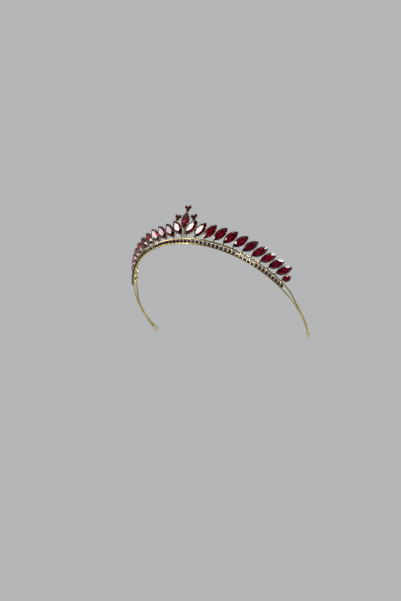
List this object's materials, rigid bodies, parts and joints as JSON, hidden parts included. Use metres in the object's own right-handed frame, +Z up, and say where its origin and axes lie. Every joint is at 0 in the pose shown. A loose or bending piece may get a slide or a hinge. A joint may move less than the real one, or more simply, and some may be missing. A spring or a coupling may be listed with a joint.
{
  "type": "crown",
  "caption": "Open hair-band crown: two soldered wires with end eyes, a row of small round stones below, claw-set navette stones fanned above, and trefoils round a tall centre stone.",
  "frame": {"origin": "bottom centre of the crown's box, with the crown standing on its lower wire", "axes": "+X to the crown's left half as its wearer sees it from behind, -Y through the centre front, +Y through the open ends, +Z up"},
  "size_m": [0.1666, 0.135, 0.033],
  "materials": {
    "gold_wire": "polished gold plating on brass wire",
    "gold_setting": "polished gold plating on cast settings",
    "gold_cup_chain": "polished gold plating on stamped cups",
    "large_stone_glass": "deep red cut glass with a mirrored back",
    "trefoil_stone_glass": "dark red cut glass with a mirrored back",
    "chain_stone_glass": "dark red cut glass with a mirrored back"
  },
  "bodies": {
    "root": {"band_posts": "gold_wire", "chain_cups": "gold_cup_chain", "chain_stones": "chain_stone_glass", "end_eye_left": "gold_wire", "end_eye_right": "gold_wire", "lower_band_wire": "gold_wire", "setting_01_left": "gold_setting", "setting_01_right": "gold_setting", "setting_02_left": "gold_setting", "setting_02_right": "gold_setting", "setting_03_left": "gold_setting", "setting_03_right": "gold_setting", "setting_04_left": "gold_setting", "setting_04_right": "gold_setting", "setting_05_left": "gold_setting", "setting_05_right": "gold_setting", "setting_06_left": "gold_setting", "setting_06_right": "gold_setting", "setting_07_left": "gold_setting", "setting_07_right": "gold_setting", "setting_08_left": "gold_setting", "setting_08_right": "gold_setting", "setting_09_left": "gold_setting", "setting_09_right": "gold_setting", "setting_10_left": "gold_setting", "setting_10_right": "gold_setting", "setting_11_left": "gold_setting", "setting_11_right": "gold_setting", "setting_centre": "gold_setting", "setting_flank_left": "gold_setting", "setting_flank_right": "gold_setting", "stone_01_left": "large_stone_glass", "stone_01_right": "large_stone_glass", "stone_02_left": "large_stone_glass", "stone_02_right": "large_stone_glass", "stone_03_left": "large_stone_glass", "stone_03_right": "large_stone_glass", "stone_04_left": "large_stone_glass", "stone_04_right": "large_stone_glass", "stone_05_left": "large_stone_glass", "stone_05_right": "large_stone_glass", "stone_06_left": "large_stone_glass", "stone_06_right": "large_stone_glass", "stone_07_left": "large_stone_glass", "stone_07_right": "large_stone_glass", "stone_08_left": "large_stone_glass", "stone_08_right": "large_stone_glass", "stone_09_left": "large_stone_glass", "stone_09_right": "large_stone_glass", "stone_10_left": "large_stone_glass", "stone_10_right": "large_stone_glass", "stone_11_left": "large_stone_glass", "stone_11_right": "large_stone_glass", "stone_centre": "large_stone_glass", "stone_flank_left": "large_stone_glass", "stone_flank_right": "large_stone_glass", "trefoil_cups": "gold_setting", "trefoil_stones": "trefoil_stone_glass", "upper_band_wire": "gold_wire"}
  },
  "joints": []
}
